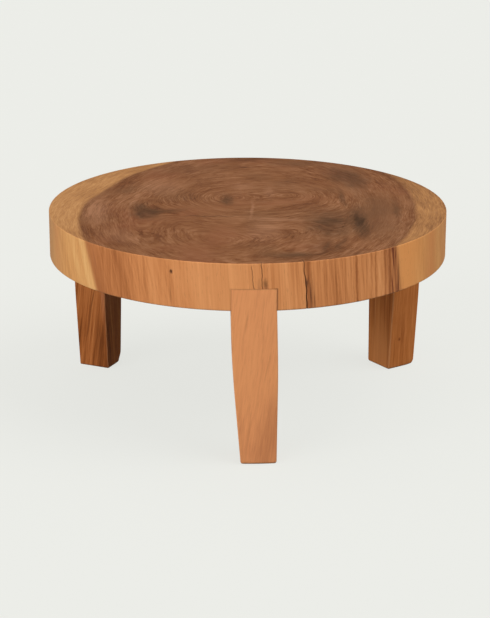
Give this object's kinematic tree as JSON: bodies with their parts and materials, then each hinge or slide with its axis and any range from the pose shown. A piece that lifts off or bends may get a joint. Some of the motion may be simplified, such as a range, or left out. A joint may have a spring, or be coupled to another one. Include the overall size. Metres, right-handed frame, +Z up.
{
  "type": "low table",
  "caption": "Low round table: a thick solid-wood slab, sawn across the trunk, on square tapered legs let flush into its rim.",
  "frame": {"origin": "on the floor, below the centre of the round top", "axes": "+Z up, the front leg towards -Y, +X to the right of someone who faces the front leg"},
  "size_m": [0.8, 0.8, 0.4],
  "materials": {
    "slab_wood": "brown heartwood with pale sapwood at two sides, oiled satin",
    "leg_wood": "orange brown straight-grained wood, oiled satin",
    "dowel_wood": "plain pale hardwood, unfinished"
  },
  "bodies": {
    "root": {"slab_top": "slab_wood", "front_leg": "leg_wood", "left_leg": "leg_wood", "right_leg": "leg_wood", "front_leg_dowel_left": "dowel_wood", "front_leg_dowel_right": "dowel_wood", "left_leg_dowel_left": "dowel_wood", "left_leg_dowel_right": "dowel_wood", "right_leg_dowel_left": "dowel_wood", "right_leg_dowel_right": "dowel_wood"}
  },
  "joints": []
}
